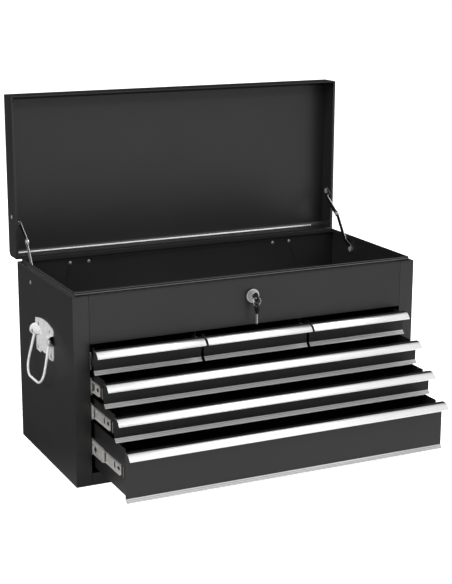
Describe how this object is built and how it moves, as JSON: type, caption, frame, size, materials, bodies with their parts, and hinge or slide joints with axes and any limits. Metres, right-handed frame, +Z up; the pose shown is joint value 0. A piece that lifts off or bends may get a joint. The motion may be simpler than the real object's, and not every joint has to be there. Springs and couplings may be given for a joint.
{
  "type": "machinist tool chest",
  "caption": "Bench-top sheet steel tool chest with a lift-up lid over a top till, folding lid stays, ball-bearing drawers with bright pulls and drop handles on both sides.",
  "frame": {"origin": "centre of the base, on the surface that the chest stands on", "axes": "+X to the right seen from the front, +Y to the back, +Z up"},
  "size_m": [0.623, 0.453, 0.554],
  "materials": {
    "case_paint": "fine textured black powder coat",
    "drawer_paint": "fine textured black powder coat",
    "pull_metal": "bright anodised, satin",
    "trim_metal": "satin grey",
    "slide_steel": "zinc plated",
    "rivet_steel": "zinc plated",
    "hinge_steel": "zinc plated",
    "stay_steel": "bright zinc plated",
    "handle_plating": "chrome plated",
    "bail_plating": "chrome plated",
    "lock_plating": "chrome plated",
    "key_black": "black moulded cap over the head of the key",
    "key_nickel": "nickel plated key blank with cut bitting",
    "ring_steel": "plated wire"
  },
  "bodies": {
    "case": {"case_shell": "case_paint", "base_pan": "case_paint", "front_fascia": "case_paint", "till_floor": "case_paint", "drawer_partitions": "case_paint", "slide_posts": "case_paint", "slide_case_members": "slide_steel", "case_rivets": "rivet_steel", "hinge_case_leaves": "hinge_steel", "hinge_pins": "hinge_steel", "handle_plates": "handle_plating", "handle_rivets": "rivet_steel", "lock_housing": "lock_plating", "lock_nut": "lock_plating"},
    "lid": {"lid_shell": "case_paint", "hinge_lid_leaves": "hinge_steel", "lid_rivets": "rivet_steel"},
    "stay_lower": {"stay_lower_links": "stay_steel", "stay_joint_rivets": "rivet_steel"},
    "stay_upper": {"stay_upper_links": "stay_steel"},
    "bail_left": {"bail_left": "bail_plating"},
    "bail_right": {"bail_right": "bail_plating"},
    "lock_core": {"lock_plug": "lock_plating", "lock_cam": "lock_plating", "key": "key_nickel", "key_cap": "key_black"},
    "spare_key_ring": {"key_ring": "ring_steel", "spare_key": "key_nickel", "spare_key_cap": "key_black"},
    "drawer_top_left": {"drawer_top_left_box": "drawer_paint", "drawer_top_left_pull": "pull_metal", "drawer_top_left_trim": "trim_metal", "drawer_top_left_slides": "slide_steel"},
    "drawer_top_left_slide_middles": {"drawer_top_left_slide_middles": "slide_steel"},
    "drawer_top_middle": {"drawer_top_middle_box": "drawer_paint", "drawer_top_middle_pull": "pull_metal", "drawer_top_middle_trim": "trim_metal", "drawer_top_middle_slides": "slide_steel"},
    "drawer_top_middle_slide_middles": {"drawer_top_middle_slide_middles": "slide_steel"},
    "drawer_top_right": {"drawer_top_right_box": "drawer_paint", "drawer_top_right_pull": "pull_metal", "drawer_top_right_trim": "trim_metal", "drawer_top_right_slides": "slide_steel"},
    "drawer_top_right_slide_middles": {"drawer_top_right_slide_middles": "slide_steel"},
    "drawer_second": {"drawer_second_box": "drawer_paint", "drawer_second_pull": "pull_metal", "drawer_second_trim": "trim_metal", "drawer_second_slides": "slide_steel"},
    "drawer_second_slide_middles": {"drawer_second_slide_middles": "slide_steel"},
    "drawer_third": {"drawer_third_box": "drawer_paint", "drawer_third_pull": "pull_metal", "drawer_third_trim": "trim_metal", "drawer_third_slides": "slide_steel"},
    "drawer_third_slide_middles": {"drawer_third_slide_middles": "slide_steel"},
    "drawer_bottom": {"drawer_bottom_box": "drawer_paint", "drawer_bottom_pull": "pull_metal", "drawer_bottom_trim": "trim_metal", "drawer_bottom_slides": "slide_steel"},
    "drawer_bottom_slide_middles": {"drawer_bottom_slide_middles": "slide_steel"}
  },
  "joints": [
    {"name": "lid_hinge", "type": "hinge", "parent": "case", "child": "lid", "pos_m": [0, 0.1325, 0.2915], "axis": [1, 0, 0], "range_deg": [0, 90]},
    {"name": "stay_lower_swing", "type": "hinge", "parent": "case", "child": "stay_lower", "pos_m": [0, 0.064, 0.272], "axis": [1, 0, 0], "range_deg": [0, 93.5]},
    {"name": "stay_upper_fold", "type": "hinge", "parent": "stay_lower", "child": "stay_upper", "pos_m": [0, 0.103, 0.328], "axis": [1, 0, 0], "range_deg": [-124.5, 0]},
    {"name": "bail_left_swing", "type": "hinge", "parent": "case", "child": "bail_left", "pos_m": [-0.2943, 0, 0.2032], "axis": [0, 1, 0], "range_deg": [0, 77.5]},
    {"name": "bail_right_swing", "type": "hinge", "parent": "case", "child": "bail_right", "pos_m": [0.2943, 0, 0.2032], "axis": [0, -1, 0], "range_deg": [0, 77.5]},
    {"name": "lock_turn", "type": "hinge", "parent": "case", "child": "lock_core", "pos_m": [0, -0.13, 0.2645], "axis": [0, 1, 0], "range_deg": [0, 90]},
    {"name": "spare_key_swing", "type": "hinge", "parent": "lock_core", "child": "spare_key_ring", "pos_m": [0, -0.1459, 0.2645], "axis": [1, 0, 0], "range_deg": [-40, 15]},
    {"name": "drawer_top_left_slide", "type": "slide", "parent": "case", "child": "drawer_top_left", "axis": [0, -1, 0], "range_m": [-0.014, 0.166]},
    {"name": "drawer_top_left_middle_slide", "type": "slide", "parent": "case", "child": "drawer_top_left_slide_middles", "axis": [0, -1, 0], "range_m": [-0.007, 0.083]},
    {"name": "drawer_top_middle_slide", "type": "slide", "parent": "case", "child": "drawer_top_middle", "axis": [0, -1, 0], "range_m": [-0.014, 0.166]},
    {"name": "drawer_top_middle_middle_slide", "type": "slide", "parent": "case", "child": "drawer_top_middle_slide_middles", "axis": [0, -1, 0], "range_m": [-0.007, 0.083]},
    {"name": "drawer_top_right_slide", "type": "slide", "parent": "case", "child": "drawer_top_right", "axis": [0, -1, 0], "range_m": [-0.014, 0.166]},
    {"name": "drawer_top_right_middle_slide", "type": "slide", "parent": "case", "child": "drawer_top_right_slide_middles", "axis": [0, -1, 0], "range_m": [-0.007, 0.083]},
    {"name": "drawer_second_slide", "type": "slide", "parent": "case", "child": "drawer_second", "axis": [0, -1, 0], "range_m": [-0.054, 0.126]},
    {"name": "drawer_second_middle_slide", "type": "slide", "parent": "case", "child": "drawer_second_slide_middles", "axis": [0, -1, 0], "range_m": [-0.027, 0.063]},
    {"name": "drawer_third_slide", "type": "slide", "parent": "case", "child": "drawer_third", "axis": [0, -1, 0], "range_m": [-0.094, 0.086]},
    {"name": "drawer_third_middle_slide", "type": "slide", "parent": "case", "child": "drawer_third_slide_middles", "axis": [0, -1, 0], "range_m": [-0.047, 0.043]},
    {"name": "drawer_bottom_slide", "type": "slide", "parent": "case", "child": "drawer_bottom", "axis": [0, -1, 0], "range_m": [-0.133, 0.047]},
    {"name": "drawer_bottom_middle_slide", "type": "slide", "parent": "case", "child": "drawer_bottom_slide_middles", "axis": [0, -1, 0], "range_m": [-0.0665, 0.0235]}
  ],
  "couplings": [
    {"joint": "stay_lower_swing", "follows": "lid_hinge", "ratio": 1.0379},
    {"joint": "stay_upper_fold", "follows": "lid_hinge", "ratio": -1.3817},
    {"joint": "drawer_top_left_middle_slide", "follows": "drawer_top_left_slide", "ratio": 0.5},
    {"joint": "drawer_top_middle_middle_slide", "follows": "drawer_top_middle_slide", "ratio": 0.5},
    {"joint": "drawer_top_right_middle_slide", "follows": "drawer_top_right_slide", "ratio": 0.5},
    {"joint": "drawer_second_middle_slide", "follows": "drawer_second_slide", "ratio": 0.5},
    {"joint": "drawer_third_middle_slide", "follows": "drawer_third_slide", "ratio": 0.5},
    {"joint": "drawer_bottom_middle_slide", "follows": "drawer_bottom_slide", "ratio": 0.5}
  ]
}
